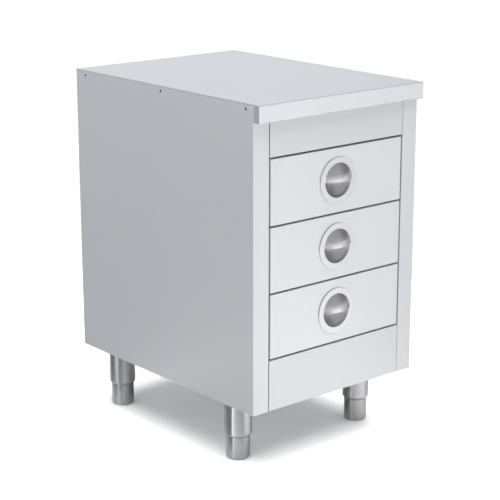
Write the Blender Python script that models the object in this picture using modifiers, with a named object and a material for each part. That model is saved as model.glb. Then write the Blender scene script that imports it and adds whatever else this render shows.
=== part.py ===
"""Stainless steel drawer cabinet on four adjustable legs.

Folded sheet-metal body with a worktop, three drawers on telescopic runners with round
recessed handles, and legs with feet that screw out.  Metres, +Z up.  The front faces -Y and
the origin is on the floor, under the middle of the whole depth.
"""
from math import atan2, cos, pi, radians, sin

import bmesh
import bpy
from mathutils import Matrix, Vector

# Outer sizes
WIDTH = 0.500
BODY_DEPTH = 0.666
LEG_HEIGHT = 0.152

# Sheet metal
SHEET = 0.0010
INNER_BEND = 0.0005
BEND_SEGMENTS = 2
FOLD_ANGLE = radians(30)
CLEARANCE = 0.0003
MERGE_DISTANCE = 0.00001
# Share of a bend's inner radius that a square corner nested in it stands off
NEST_SHARE = 0.3
# Share of a sheet that a welded closing plate reaches into
BURIED_SHARE = 0.75

# Worktop
WORKTOP_SHEET = 0.0012
LIP_OVERHANG = 0.019
LIP_HEIGHT = 0.039
CORE_THICKNESS = 0.0210
CORE_SIDE_CLEARANCE = 0.0005

# Front of the body
STILE_WIDTH = 0.045
TOP_RAIL_HEIGHT = 0.082
BOTTOM_RAIL_HEIGHT = 0.1191
RAIL_SEAM = 0.0016
RETURN_DEPTH = 0.020
BACK_RETURN = 0.015
BASE_FLANGE = 0.020

# Screws that hold the worktop between the side panels
SCREW_HEAD_RADIUS = 0.0029
SCREW_SHANK_RADIUS = 0.0014
SCREW_LENGTH = 0.016
SCREW_RECESS = 0.0003
SCREW_FRONT_INSET = 0.005
SCREW_BACK_INSET = 0.039
SCREW_SEGMENTS = 12

# Drawers
DRAWER_NAMES = ("top", "middle", "bottom")
DRAWER_FRONT_HEIGHT = 0.1491
FRONT_GAP = 0.0044
TUB_RISE = 0.014
TUB_TOP_DROP = 0.024
TUB_BACK_CLEARANCE = 0.066

# Telescopic runners: three nested channels on each side of a drawer
RUNNER_HEIGHT = 0.045
RUNNER_THICKNESS = 0.0127
RUNNER_SHEET = 0.0012
RUNNER_CLEARANCE = 0.0004
RUNNER_FLANGE = 0.0085
RUNNER_RISE = 0.052
RUNNER_SETBACK = 0.004
RUNNER_BACK_CLEARANCE = 0.090

# Round handles: a dished cup with a flange, and a half-dome visor over its upper half
HANDLE_FLANGE_RADIUS = 0.0545
HANDLE_RECESS_RADIUS = 0.0408
HANDLE_SHEET = 0.0010
VISOR_BULGE = 0.015
VISOR_DROP = 0.0004
HANDLE_SEGMENTS = 36
CUP_STEPS = 6
DOME_STEPS = 5

# Legs
LEG_SIDE_INSET = 0.060
LEG_FRONT_INSET = 0.125
LEG_BACK_INSET = 0.080
SLEEVE_RADIUS = 0.0325
SLEEVE_LENGTH = 0.0955
SLEEVE_WALL = 0.0015
SLEEVE_TAPER = 0.0056
SLEEVE_CAP = 0.003
FOOT_RADIUS = 0.028
FOOT_ROUND = 0.0045
FOOT_ROUND_STEPS = 3
FOOT_GAP = 0.0004
FOOT_FLOOR = 0.004
STEM_LENGTH = 0.060
STEM_WALL = 0.002
STEM_CLEARANCE = 0.0005
LEG_SEGMENTS = 28

# Planes that follow from the sizes above
HOLE_REACH = 3 * SHEET
HALF = WIDTH / 2
FRONT = (LIP_OVERHANG - BODY_DEPTH) / 2
BACK = FRONT + BODY_DEPTH
FLOOR = 0.0
BODY_BOTTOM = FLOOR + LEG_HEIGHT
DRAWER_PITCH = DRAWER_FRONT_HEIGHT + FRONT_GAP
OPENING_BOTTOM = BODY_BOTTOM + BOTTOM_RAIL_HEIGHT
OPENING_TOP = OPENING_BOTTOM + len(DRAWER_NAMES) * DRAWER_PITCH + FRONT_GAP
BODY_TOP = OPENING_TOP + TOP_RAIL_HEIGHT + LIP_HEIGHT
WALL_TOP = BODY_TOP - WORKTOP_SHEET - CLEARANCE
CORE_TOP = WALL_TOP
CORE_BOTTOM = CORE_TOP - CORE_THICKNESS
OPENING_HALF = HALF - STILE_WIDTH
NEST_GAP = CLEARANCE + INNER_BEND * NEST_SHARE
RETURN_END = FRONT + RETURN_DEPTH
BASE_FRONT = RETURN_END + CLEARANCE
BACK_PANEL_REAR = BACK - SHEET - CLEARANCE
BASE_REAR = BACK_PANEL_REAR - SHEET - CLEARANCE
RUNNER_FRONT = RETURN_END + RUNNER_SETBACK
RUNNER_REAR = BACK - RUNNER_BACK_CLEARANCE
RUNNER_WALL = OPENING_HALF - CLEARANCE
TUB_HALF = RUNNER_WALL - RUNNER_THICKNESS - CLEARANCE
SIDES = ("left", "right")
ENDS = {"front": FRONT + LEG_FRONT_INSET, "back": BACK - LEG_BACK_INSET}


def clear_scene():
    """Remove every object that the file already holds."""
    for item in list(bpy.data.objects):
        bpy.data.objects.remove(item, do_unlink=True)


def new_collection(name):
    """Add a collection to the scene."""
    collection = bpy.data.collections.new(name)
    bpy.context.scene.collection.children.link(collection)
    return collection


def metal(name, colour, roughness, metallic=1.0):
    """Make a plain surface: colour, roughness and how metallic it is."""
    material = bpy.data.materials.new(name)
    material.use_nodes = True
    shader = material.node_tree.nodes["Principled BSDF"]
    shader.inputs["Base Color"].default_value = (*colour, 1.0)
    shader.inputs["Roughness"].default_value = roughness
    shader.inputs["Metallic"].default_value = metallic
    return material


clear_scene()
PARTS = new_collection("stainless_drawer_cabinet")
CUTTERS = new_collection("cutters")
PANEL_STEEL = metal("satin_panel_steel", (0.62, 0.62, 0.64), 0.42)
TOP_STEEL = metal("brushed_worktop_steel", (0.68, 0.68, 0.70), 0.38)
FRONT_STEEL = metal("brushed_front_steel", (0.70, 0.70, 0.71), 0.36)
TUB_STEEL = metal("plain_tub_steel", (0.58, 0.58, 0.60), 0.45)
HANDLE_STEEL = metal("pressed_handle_steel", (0.66, 0.66, 0.66), 0.28)
LEG_STEEL = metal("turned_leg_steel", (0.55, 0.55, 0.55), 0.30)
RUNNER_ZINC = metal("zinc_plated_runner", (0.50, 0.51, 0.53), 0.40)
SCREW_DARK = metal("blackened_screw", (0.10, 0.10, 0.10), 0.55)
CORE_BOARD = metal("worktop_board", (0.42, 0.33, 0.24), 0.80, metallic=0.0)


def add_object(name, bm, location, material, collection=PARTS):
    """Turn a finished bmesh into a named object."""
    mesh = bpy.data.meshes.new(name)
    bm.to_mesh(mesh)
    bm.free()
    item = bpy.data.objects.new(name, mesh)
    item.location = location
    collection.objects.link(item)
    if material:
        mesh.materials.append(material)
    return item


def carrier(name, location):
    """Add an empty on a joint's axis; the pieces that move there are parented to it."""
    empty = bpy.data.objects.new(name, None)
    empty.location = location
    PARTS.objects.link(empty)
    return empty


def carry(empty, *items):
    """Parent pieces to a carrier and leave them where they are."""
    for item in items:
        item.parent = empty
        item.matrix_parent_inverse = Matrix.Translation(-empty.location)


def box_bmesh(low, high):
    """Make a box's bmesh about its own middle, and give that middle."""
    low = Vector(low)
    high = Vector(high)
    bm = bmesh.new()
    bmesh.ops.create_cube(bm, size=1.0)
    bmesh.ops.scale(bm, vec=high - low, verts=bm.verts)
    return bm, (low + high) / 2


def add_box(name, low, high, material):
    """Add a flat plate or block between two corners."""
    bm, middle = box_bmesh(low, high)
    return add_object(name, bm, middle, material)


def add_cutter(name, low, high):
    """Add a box that only shapes another piece."""
    bm, middle = box_bmesh(low, high)
    cutter = add_object(name, bm, middle, None, CUTTERS)
    hide_cutter(cutter)
    return cutter


def hide_cutter(cutter):
    """Mark a piece as a cutter."""
    cutter.hide_render = True
    cutter.display_type = "WIRE"


def fold_edges(item, wall):
    """Round the folds of an open surface and give it the sheet's thickness, inwards."""
    bevel = item.modifiers.new("bends", "BEVEL")
    bevel.width = wall + INNER_BEND
    bevel.segments = BEND_SEGMENTS
    bevel.limit_method = "ANGLE"
    bevel.angle_limit = FOLD_ANGLE
    solidify = item.modifiers.new("sheet", "SOLIDIFY")
    solidify.thickness = wall
    solidify.offset = -1.0
    solidify.use_even_offset = True


def add_pan(name, low, high, open_side, material):
    """Add a box folded from sheet, open on one side."""
    bm, middle = box_bmesh(low, high)
    bm.normal_update()
    open_faces = [max(bm.faces, key=lambda face: face.normal.dot(Vector(open_side)))]
    bmesh.ops.delete(bm, geom=open_faces, context="FACES_ONLY")
    pan = add_object(name, bm, middle, material)
    fold_edges(pan, SHEET)
    return pan


def add_folded(name, path, sweep, wall, outward, material):
    """Add a sheet folded along a path of corner points and run out along a sweep.

    The path lies on the sheet's outer face.  outward is the way that the widest face looks.
    """
    bm = bmesh.new()
    corners = [bm.verts.new(point) for point in path]
    folds = [bm.edges.new(pair) for pair in zip(corners, corners[1:])]
    run = bmesh.ops.extrude_edge_only(bm, edges=folds)
    moved = [piece for piece in run["geom"] if isinstance(piece, bmesh.types.BMVert)]
    bmesh.ops.translate(bm, verts=moved, vec=sweep)
    bm.normal_update()
    widest = max(bm.faces, key=lambda face: face.calc_area())
    if widest.normal.dot(Vector(outward)) < 0:
        bmesh.ops.reverse_faces(bm, faces=bm.faces)
    sheet = add_object(name, bm, (0, 0, 0), material)
    fold_edges(sheet, wall)
    return sheet


def add_turned(name, profile, segments, location, rotation, material, collection=PARTS):
    """Add a round piece: a profile of (radius, height) points turned about local Z."""
    bm = bmesh.new()
    points = [bm.verts.new((radius, 0, height)) for radius, height in profile]
    for pair in zip(points, points[1:]):
        bm.edges.new(pair)
    item = add_object(name, bm, location, material, collection)
    item.rotation_euler = rotation
    screw = item.modifiers.new("turn", "SCREW")
    screw.axis = "Z"
    screw.angle = 2 * pi
    screw.steps = segments
    screw.render_steps = segments
    screw.use_merge_vertices = True
    screw.merge_threshold = MERGE_DISTANCE
    screw.use_smooth_shade = True
    return item


def add_rod_cutter(name, radius, length, start, rotation):
    """Add a round cutter that runs from a start point along its own Z."""
    profile = [(0, length), (radius, length), (radius, 0), (0, 0)]
    cutter = add_turned(name, profile, SCREW_SEGMENTS, start, rotation, None, CUTTERS)
    hide_cutter(cutter)
    return cutter


def combine(item, other, operation):
    """Cut a piece by another, or join the other to it."""
    boolean = item.modifiers.new(other.name, "BOOLEAN")
    boolean.operation = operation
    boolean.object = other


def towards(side):
    """Give the way along X that a side lies."""
    return -1 if side == "left" else 1


def mirrored(side, path):
    """Give a path of the right side for either side."""
    return [(towards(side) * x, y, z) for x, y, z in path]


def screw_places():
    """Give the depth of each worktop screw along the side."""
    first = BASE_FRONT + SCREW_FRONT_INSET
    last = BACK - SCREW_BACK_INSET
    return {"front": first, "mid": (first + last) / 2, "back": last}


def screw_height():
    """Give the height of the screws: the middle of the worktop's core."""
    return (CORE_TOP + CORE_BOTTOM) / 2


def inward(side):
    """Turn local Z so that it looks from a side panel into the body."""
    return (0, radians(-90) * towards(side), 0)


def build_worktop():
    """Top sheet, folded down into the front lip and back under it, with closed lip ends."""
    lip_front = FRONT - LIP_OVERHANG
    lip_bottom = BODY_TOP - LIP_HEIGHT
    path = [
        (-HALF, FRONT - CLEARANCE, lip_bottom),
        (-HALF, lip_front, lip_bottom),
        (-HALF, lip_front, BODY_TOP),
        (-HALF, BACK, BODY_TOP),
    ]
    worktop = add_folded("worktop", path, (WIDTH, 0, 0), WORKTOP_SHEET, (0, 0, 1), TOP_STEEL)
    buried = WORKTOP_SHEET * BURIED_SHARE
    for side in SIDES:
        sign = towards(side)
        across = sorted((sign * HALF, sign * (HALF - WORKTOP_SHEET)))
        low = (across[0], lip_front + buried, lip_bottom + buried)
        high = (across[1], FRONT - CLEARANCE, BODY_TOP - buried)
        combine(worktop, add_cutter(f"lip_end_{side}", low, high), "UNION")


def build_core():
    """Board under the top sheet, drilled in its edges for the worktop screws."""
    half = HALF - SHEET - CORE_SIDE_CLEARANCE
    low = (-half, BASE_FRONT, CORE_BOTTOM)
    high = (half, BASE_REAR, CORE_TOP)
    core = add_box("worktop_core", low, high, CORE_BOARD)
    for side in SIDES:
        sign = towards(side)
        for place, depth in screw_places().items():
            start = (sign * HALF, depth, screw_height())
            radius = SCREW_SHANK_RADIUS + CLEARANCE
            length = SCREW_LENGTH + CLEARANCE
            name = f"shank_hole_{side}_{place}"
            combine(core, add_rod_cutter(name, radius, length, start, inward(side)), "DIFFERENCE")


def build_side_panels():
    """Side walls, each folded into a boxed front stile and a narrow return at the back."""
    path = [
        (OPENING_HALF, RETURN_END, BODY_BOTTOM),
        (OPENING_HALF, FRONT, BODY_BOTTOM),
        (HALF, FRONT, BODY_BOTTOM),
        (HALF, BACK, BODY_BOTTOM),
        (HALF - BACK_RETURN, BACK, BODY_BOTTOM),
    ]
    rise = (0, 0, WALL_TOP - BODY_BOTTOM)
    for side in SIDES:
        sign = towards(side)
        name = f"side_panel_{side}"
        panel = add_folded(name, mirrored(side, path), rise, SHEET, (sign, 0, 0), PANEL_STEEL)
        buried = SHEET * BURIED_SHARE
        across = sorted((sign * (OPENING_HALF + buried), sign * (HALF - buried)))
        low = (across[0], FRONT + buried, BODY_BOTTOM + CLEARANCE)
        high = (across[1], RETURN_END, BODY_BOTTOM + CLEARANCE + SHEET)
        combine(panel, add_cutter(f"stile_foot_{side}", low, high), "UNION")
        for place, depth in screw_places().items():
            start = (sign * (HALF + SHEET), depth, screw_height())
            radius = SCREW_HEAD_RADIUS + CLEARANCE
            name = f"head_hole_{side}_{place}"
            hole = add_rod_cutter(name, radius, HOLE_REACH, start, inward(side))
            combine(panel, hole, "DIFFERENCE")


def build_screws():
    """Screws through the side panels into the edges of the worktop's core."""
    head_end = SHEET + CORE_SIDE_CLEARANCE - CLEARANCE
    profile = [
        (0, SCREW_LENGTH),
        (SCREW_SHANK_RADIUS, SCREW_LENGTH),
        (SCREW_SHANK_RADIUS, head_end),
        (SCREW_HEAD_RADIUS, head_end),
        (SCREW_HEAD_RADIUS, SCREW_RECESS),
        (0, SCREW_RECESS),
    ]
    for side in SIDES:
        sign = towards(side)
        for place, depth in screw_places().items():
            location = (sign * HALF, depth, screw_height())
            name = f"worktop_screw_{side}_{place}"
            add_turned(name, profile, SCREW_SEGMENTS, location, inward(side), SCREW_DARK)


def build_back_and_base():
    """Flat back inside the rear returns, and a base tray inside the walls."""
    half = HALF - SHEET - NEST_GAP
    low = (-half, BACK_PANEL_REAR - SHEET, BODY_BOTTOM)
    high = (half, BACK_PANEL_REAR, WALL_TOP)
    add_box("back_panel", low, high, PANEL_STEEL)
    low = (-half, BASE_FRONT, BODY_BOTTOM)
    high = (half, BASE_REAR, BODY_BOTTOM + BASE_FLANGE)
    add_pan("base_panel", low, high, (0, 0, 1), PANEL_STEEL)


def build_rails():
    """Front rails above and below the drawers, folded back at both edges."""
    half = OPENING_HALF - RAIL_SEAM
    heights = {
        "front_top_rail": (OPENING_TOP, WALL_TOP),
        "front_bottom_rail": (BODY_BOTTOM, OPENING_BOTTOM),
    }
    for name, (bottom, top) in heights.items():
        path = [
            (-half, RETURN_END, bottom),
            (-half, FRONT, bottom),
            (-half, FRONT, top),
            (-half, RETURN_END, top),
        ]
        add_folded(name, path, (2 * half, 0, 0), SHEET, (0, -1, 0), FRONT_STEEL)


def build_inner_walls():
    """Channels behind the stiles that carry the runners."""
    front = BASE_FRONT + SHEET + NEST_GAP
    rear = BASE_REAR - SHEET - NEST_GAP
    outer = HALF - 2 * SHEET - 2 * NEST_GAP
    bottom = BODY_BOTTOM + SHEET + NEST_GAP
    path = [
        (outer, front, bottom),
        (OPENING_HALF, front, bottom),
        (OPENING_HALF, rear, bottom),
        (outer, rear, bottom),
    ]
    rise = (0, 0, CORE_BOTTOM - CLEARANCE - bottom)
    for side in SIDES:
        sign = towards(side)
        name = f"inner_wall_{side}"
        add_folded(name, mirrored(side, path), rise, SHEET, (-sign, 0, 0), PANEL_STEEL)


def add_channel(name, side, web, toe, height, middle):
    """Add a runner channel: a web with a flange at its top and bottom.

    web and toe are the distances from the middle of the body to the outer face of the web
    and to the edges of the flanges.
    """
    low = middle - height / 2
    high = middle + height / 2
    path = [
        (toe, RUNNER_FRONT, low),
        (web, RUNNER_FRONT, low),
        (web, RUNNER_FRONT, high),
        (toe, RUNNER_FRONT, high),
    ]
    run = (0, RUNNER_REAR - RUNNER_FRONT, 0)
    outward = (towards(side) * (web - toe), 0, 0)
    return add_folded(name, mirrored(side, path), run, RUNNER_SHEET, outward, RUNNER_ZINC)


def build_runners(drawer, drawer_empty, slide_empty, middle):
    """Outer channels on the inner walls, middle channels, and inner channels on the drawer."""
    step = RUNNER_SHEET + RUNNER_CLEARANCE
    for side in SIDES:
        web = RUNNER_WALL
        toe = web - RUNNER_FLANGE
        add_channel(f"{drawer}_runner_outer_{side}", side, web, toe, RUNNER_HEIGHT, middle)
        web = web - step
        toe = web - RUNNER_FLANGE
        height = RUNNER_HEIGHT - 2 * step
        slide = add_channel(f"{drawer}_runner_middle_{side}", side, web, toe, height, middle)
        carry(slide_empty, slide)
        toe = web - step
        web = RUNNER_WALL - RUNNER_THICKNESS
        height = height - 2 * step
        rail = add_channel(f"{drawer}_runner_inner_{side}", side, web, toe, height, middle)
        carry(drawer_empty, rail)


def build_drawer_front(drawer, bottom):
    """Double front: an outer skin folded back round its edges, and a flat liner in its back."""
    half = OPENING_HALF - FRONT_GAP
    top = bottom + DRAWER_FRONT_HEIGHT
    low = (-half, FRONT, bottom)
    high = (half, RETURN_END, top)
    skin = add_pan(f"{drawer}_drawer_front_skin", low, high, (0, 1, 0), FRONT_STEEL)
    edge = SHEET + NEST_GAP
    low = (-half + edge, RETURN_END - SHEET, bottom + edge)
    high = (half - edge, RETURN_END, top - edge)
    liner = add_box(f"{drawer}_drawer_front_liner", low, high, FRONT_STEEL)
    return skin, liner


def build_tub(drawer, bottom):
    """Open tray behind the drawer front."""
    low = (-TUB_HALF, RETURN_END + CLEARANCE, bottom + TUB_RISE)
    high = (TUB_HALF, BACK - TUB_BACK_CLEARANCE, bottom + DRAWER_FRONT_HEIGHT - TUB_TOP_DROP)
    return add_pan(f"{drawer}_drawer_tub", low, high, (0, 0, 1), TUB_STEEL)


def dish(radius, depth, steps):
    """Give points from the middle of an elliptical dish out to its rim, depth downwards."""
    angles = [pi / 2 * step / steps for step in range(steps)]
    return [(radius * sin(angle), -depth * cos(angle)) for angle in angles]


def dome(radius, height, steps):
    """Give points from the top of a shallow round dome out to its rim."""
    ball = (radius ** 2 + height ** 2) / (2 * height)
    rim_angle = atan2(radius, ball - height)
    angles = [rim_angle * step / steps for step in range(steps)]
    return [(ball * sin(angle), ball * cos(angle) - ball + height) for angle in angles]


def build_handle(drawer, bottom, skin):
    """Dished cup set into the drawer skin, and the visor welded over its upper half."""
    centre = (0, FRONT - CLEARANCE, bottom + DRAWER_FRONT_HEIGHT / 2)
    half_facet = pi / HANDLE_SEGMENTS
    face_front = (radians(90), half_facet, 0)
    rear = RETURN_DEPTH - SHEET
    front_face = HANDLE_SHEET
    inner_depth = rear - HANDLE_SHEET + front_face
    back_radius = HANDLE_RECESS_RADIUS + HANDLE_SHEET
    bowl = dish(HANDLE_RECESS_RADIUS, inner_depth, CUP_STEPS)
    inside = [(radius, front_face + height) for radius, height in bowl]
    outside = dish(back_radius, rear, CUP_STEPS)
    flange = [
        (HANDLE_RECESS_RADIUS, front_face),
        (HANDLE_FLANGE_RADIUS, front_face),
        (HANDLE_FLANGE_RADIUS, 0),
        (back_radius, 0),
    ]
    profile = inside + flange + outside[::-1]
    name = f"{drawer}_drawer_handle_cup"
    cup = add_turned(name, profile, HANDLE_SEGMENTS, centre, face_front, HANDLE_STEEL)
    hole_start = (0, FRONT - SHEET, centre[2])
    into_front = (radians(-90), half_facet, 0)
    hole_radius = back_radius + CLEARANCE
    hole_profile = [(0, HOLE_REACH), (hole_radius, HOLE_REACH), (hole_radius, 0), (0, 0)]
    name = f"{drawer}_handle_hole"
    hole = add_turned(name, hole_profile, HANDLE_SEGMENTS, hole_start, into_front, None, CUTTERS)
    hide_cutter(hole)
    combine(skin, hole, "DIFFERENCE")
    visor = build_visor(drawer, centre, face_front)
    return cup, visor


def build_visor(drawer, centre, rotation):
    """Upper half of a turned dome with a flat rim, cut just below its middle."""
    seat = HANDLE_SHEET + CLEARANCE
    outer = dome(HANDLE_RECESS_RADIUS, VISOR_BULGE, DOME_STEPS)
    inner = dome(HANDLE_RECESS_RADIUS - HANDLE_SHEET, VISOR_BULGE, DOME_STEPS)
    top_face = [(radius, seat + HANDLE_SHEET + height) for radius, height in outer]
    under_face = [(radius, seat + height) for radius, height in inner]
    rim = [
        (HANDLE_RECESS_RADIUS, seat + HANDLE_SHEET),
        (HANDLE_FLANGE_RADIUS, seat + HANDLE_SHEET),
        (HANDLE_FLANGE_RADIUS, seat),
        (HANDLE_RECESS_RADIUS - HANDLE_SHEET, seat),
    ]
    profile = top_face + rim + under_face[::-1]
    name = f"{drawer}_drawer_handle_visor"
    visor = add_turned(name, profile, HANDLE_SEGMENTS, centre, rotation, HANDLE_STEEL)
    reach = 2 * HANDLE_FLANGE_RADIUS
    low = (-reach, centre[1] - reach, centre[2] - reach)
    high = (reach, centre[1] + reach, centre[2] - VISOR_DROP)
    combine(visor, add_cutter(f"{drawer}_visor_half", low, high), "DIFFERENCE")
    return visor


def build_drawers():
    """Three drawers, each with its front, tub, handle and runners."""
    for index, drawer in enumerate(DRAWER_NAMES):
        below = len(DRAWER_NAMES) - 1 - index
        bottom = OPENING_BOTTOM + FRONT_GAP + below * DRAWER_PITCH
        middle = bottom + RUNNER_RISE
        drawer_empty = carrier(f"{drawer}_drawer_slide", (0, FRONT, middle))
        slide_empty = carrier(f"{drawer}_runner_slide", (0, RUNNER_FRONT, middle))
        skin, liner = build_drawer_front(drawer, bottom)
        tub = build_tub(drawer, bottom)
        cup, visor = build_handle(drawer, bottom, skin)
        carry(drawer_empty, skin, liner, tub, cup, visor)
        build_runners(drawer, drawer_empty, slide_empty, middle)


def sleeve_profile():
    """Give the leg sleeve: capped at the top, drawn in to the foot's size at the bottom."""
    bore = FOOT_RADIUS - SLEEVE_WALL
    inner = SLEEVE_RADIUS - SLEEVE_WALL
    return [
        (0, 0),
        (SLEEVE_RADIUS, 0),
        (SLEEVE_RADIUS, SLEEVE_TAPER - SLEEVE_LENGTH),
        (FOOT_RADIUS, -SLEEVE_LENGTH),
        (bore, -SLEEVE_LENGTH),
        (inner, SLEEVE_TAPER - SLEEVE_LENGTH),
        (inner, -SLEEVE_CAP),
        (0, -SLEEVE_CAP),
    ]


def foot_profile(shoulder):
    """Give the foot: a hollow stem that runs in the sleeve, over a cup with a rounded edge."""
    stem = FOOT_RADIUS - SLEEVE_WALL - STEM_CLEARANCE
    bore = stem - STEM_WALL
    top = shoulder + STEM_LENGTH
    inside = [(0, FOOT_FLOOR), (bore, FOOT_FLOOR), (bore, top)]
    outside = [(stem, top), (stem, shoulder), (FOOT_RADIUS, shoulder)]
    angles = [pi / 2 * step / FOOT_ROUND_STEPS for step in range(FOOT_ROUND_STEPS + 1)]
    flat = FOOT_RADIUS - FOOT_ROUND
    edge = [(flat + FOOT_ROUND * cos(angle), FOOT_ROUND * (1 - sin(angle))) for angle in angles]
    return inside + outside + edge + [(0, 0)]


def build_legs():
    """Four legs: a sleeve fixed under the base and a foot that moves out of it."""
    sleeve_top = BODY_BOTTOM - CLEARANCE
    shoulder = sleeve_top - SLEEVE_LENGTH - FOOT_GAP - FLOOR
    upright = (0, 0, 0)
    for end, depth in ENDS.items():
        for side in SIDES:
            across = towards(side) * (HALF - LEG_SIDE_INSET)
            place = (across, depth, sleeve_top)
            name = f"leg_sleeve_{end}_{side}"
            add_turned(name, sleeve_profile(), LEG_SEGMENTS, place, upright, LEG_STEEL)
            place = (across, depth, FLOOR)
            empty = carrier(f"foot_slide_{end}_{side}", place)
            name = f"leg_foot_{end}_{side}"
            foot = add_turned(name, foot_profile(shoulder), LEG_SEGMENTS, place, upright, LEG_STEEL)
            carry(empty, foot)


build_worktop()
build_core()
build_side_panels()
build_screws()
build_back_and_base()
build_rails()
build_inner_walls()
build_drawers()
build_legs()
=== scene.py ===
"""Dresses the stainless steel drawer cabinet and sets it in a plain studio.

Folded sheet panels, pressed round handles, hemmed drawer tubs, telescopic runners and turned
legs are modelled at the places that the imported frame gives.  Metres, +Z up, front to -Y.
"""
import logging
from contextlib import contextmanager
from dataclasses import dataclass
from enum import Enum, StrEnum
from itertools import product
from math import acos, asin, cos, pi, radians, sin, tan
from typing import Callable, Iterable, Iterator, Sequence

import bmesh
import bpy
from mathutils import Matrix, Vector


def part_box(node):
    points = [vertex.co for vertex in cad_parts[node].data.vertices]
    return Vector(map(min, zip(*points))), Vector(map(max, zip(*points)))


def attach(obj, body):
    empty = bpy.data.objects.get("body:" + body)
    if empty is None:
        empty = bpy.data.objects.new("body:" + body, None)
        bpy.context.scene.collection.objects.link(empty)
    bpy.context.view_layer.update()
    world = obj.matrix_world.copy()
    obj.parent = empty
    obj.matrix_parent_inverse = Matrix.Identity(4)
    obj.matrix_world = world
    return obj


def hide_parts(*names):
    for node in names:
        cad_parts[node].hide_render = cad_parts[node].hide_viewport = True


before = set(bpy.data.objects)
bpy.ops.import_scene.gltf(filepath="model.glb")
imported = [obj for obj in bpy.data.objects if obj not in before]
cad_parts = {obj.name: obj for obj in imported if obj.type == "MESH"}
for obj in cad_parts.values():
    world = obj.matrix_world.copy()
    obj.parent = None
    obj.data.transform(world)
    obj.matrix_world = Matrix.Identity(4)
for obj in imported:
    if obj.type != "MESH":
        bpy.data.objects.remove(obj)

LOG = logging.getLogger("drawer_cabinet")
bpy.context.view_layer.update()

Point = Sequence[float]
Profile = list[tuple[float, float]]
Piece = bpy.types.Object
Material = bpy.types.Material
Tree = bpy.types.NodeTree
Socket = bpy.types.NodeSocket

SHEET = 0.0010
STAND_OFF = 0.0003  # Gap between pieces that touch
BEND = 0.0011  # Outer radius of a fold
BEND_STEPS = 5
FOLD_ANGLE = radians(30)  # Edges sharper than this are folds
SMOOTH_ANGLE = radians(38)  # Edges sharper than this stay sharp in the shading
MERGE = 0.000002
BURIED = 0.75  # Share of a wall that a welded piece reaches into it
FACING = 0.75  # Least cosine at which a face counts as looking a given way
SCREW_PLACES = ("front", "mid", "back")
NOISE_RANGE = (0.3, 0.7)  # Values between which most of a noise pattern lies


class Element(Enum):
    """Kinds of mesh element that can be picked in edit mode."""

    EDGE = "edges"
    FACE = "faces"


class Side(Enum):
    """The two sides of the cabinet as its front is faced; the value is the way along X."""

    LEFT = -1
    RIGHT = 1

    def __str__(self) -> str:
        """Name of the side as the frame's nodes spell it."""
        return self.name.lower()


class Drawer(StrEnum):
    """The three drawers, from the top down, as the frame's nodes spell them."""

    TOP = "top"
    MIDDLE = "middle"
    BOTTOM = "bottom"


class Grain(Enum):
    """Way that a sheet was brushed; the value lists the axes that the lines cross."""

    ACROSS = (1, 2)
    FRONT_TO_BACK = (0, 2)
    UPRIGHT = (0, 1)


# Bench tools: each step is done in object or edit mode as it would be by hand.


def deselect() -> None:
    """Close edit mode and leave nothing selected."""
    active = bpy.context.view_layer.objects.active
    if active and active.mode != "OBJECT":
        bpy.ops.object.mode_set(mode="OBJECT")
    bpy.ops.object.select_all(action="DESELECT")


def focus(piece: Piece) -> None:
    """Select one piece alone and make it active."""
    deselect()
    piece.select_set(True)
    bpy.context.view_layer.objects.active = piece


@contextmanager
def editing(piece: Piece, select: str = "DESELECT") -> Iterator[None]:
    """Hold a piece open in edit mode, with nothing or everything selected at the start."""
    focus(piece)
    bpy.ops.object.mode_set(mode="EDIT")
    bpy.ops.mesh.select_mode(type="VERT")
    bpy.ops.mesh.select_all(action=select)
    yield
    bpy.ops.object.mode_set(mode="OBJECT")


def pick(piece: Piece, kind: Element, test: Callable[..., bool]) -> None:
    """Select the elements of an open piece that pass a test of place, normal or angle.

    Args:
        piece: Piece that is open in edit mode.
        kind: Kind of element to select.
        test: Tells whether an element is wanted.
    """
    bpy.ops.mesh.select_mode(type=kind.name)
    bpy.ops.mesh.select_all(action="DESELECT")
    mesh = bmesh.from_edit_mesh(piece.data)
    for element in getattr(mesh, kind.value):
        if test(element):
            element.select_set(True)
    bmesh.update_edit_mesh(piece.data)


def is_fold(edge: bmesh.types.BMEdge) -> bool:
    """Tell whether two faces meet at an edge at more than a slight angle."""
    return len(edge.link_faces) == 2 and edge.calc_face_angle() > FOLD_ANGLE


def name_new(name: str) -> Piece:
    """Name the primitive that was just added, put its place in its mesh and return it."""
    piece = bpy.context.object
    piece.name = name
    piece.data.name = name
    bpy.ops.object.transform_apply(location=True, rotation=True, scale=True)
    return piece


def block(name: str, low: Point, high: Point) -> Piece:
    """Add a block between two corners.

    Args:
        name: Name of the piece.
        low: Lowest corner.
        high: Highest corner.

    Returns:
        The new piece.
    """
    deselect()
    low, high = Vector(low), Vector(high)
    bpy.ops.mesh.primitive_cube_add(size=1, location=(low + high) / 2, scale=high - low)
    return name_new(name)


def modify(piece: Piece, kind: str, **settings: object) -> None:
    """Add a modifier to a piece and apply it.

    Args:
        piece: Piece to change.
        kind: Modifier type.
        settings: Values of the modifier's own settings.
    """
    focus(piece)
    bpy.ops.object.modifier_add(type=kind)
    modifier = piece.modifiers[-1]
    for key, value in settings.items():
        setattr(modifier, key, value)
    bpy.ops.object.modifier_apply(modifier=modifier.name)


def combine(piece: Piece, other: Piece, way: str) -> None:
    """Cut a piece by another or join the two, throw the other away and merge doubled points.

    Args:
        piece: Piece to change.
        other: Piece that cuts or joins it.
        way: Boolean operation.
    """
    modify(piece, "BOOLEAN", operation=way, object=other)
    bpy.data.objects.remove(other)
    with editing(piece, "SELECT"):
        bpy.ops.mesh.remove_doubles(threshold=MERGE)
        bpy.ops.mesh.dissolve_degenerate(threshold=MERGE)


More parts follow.
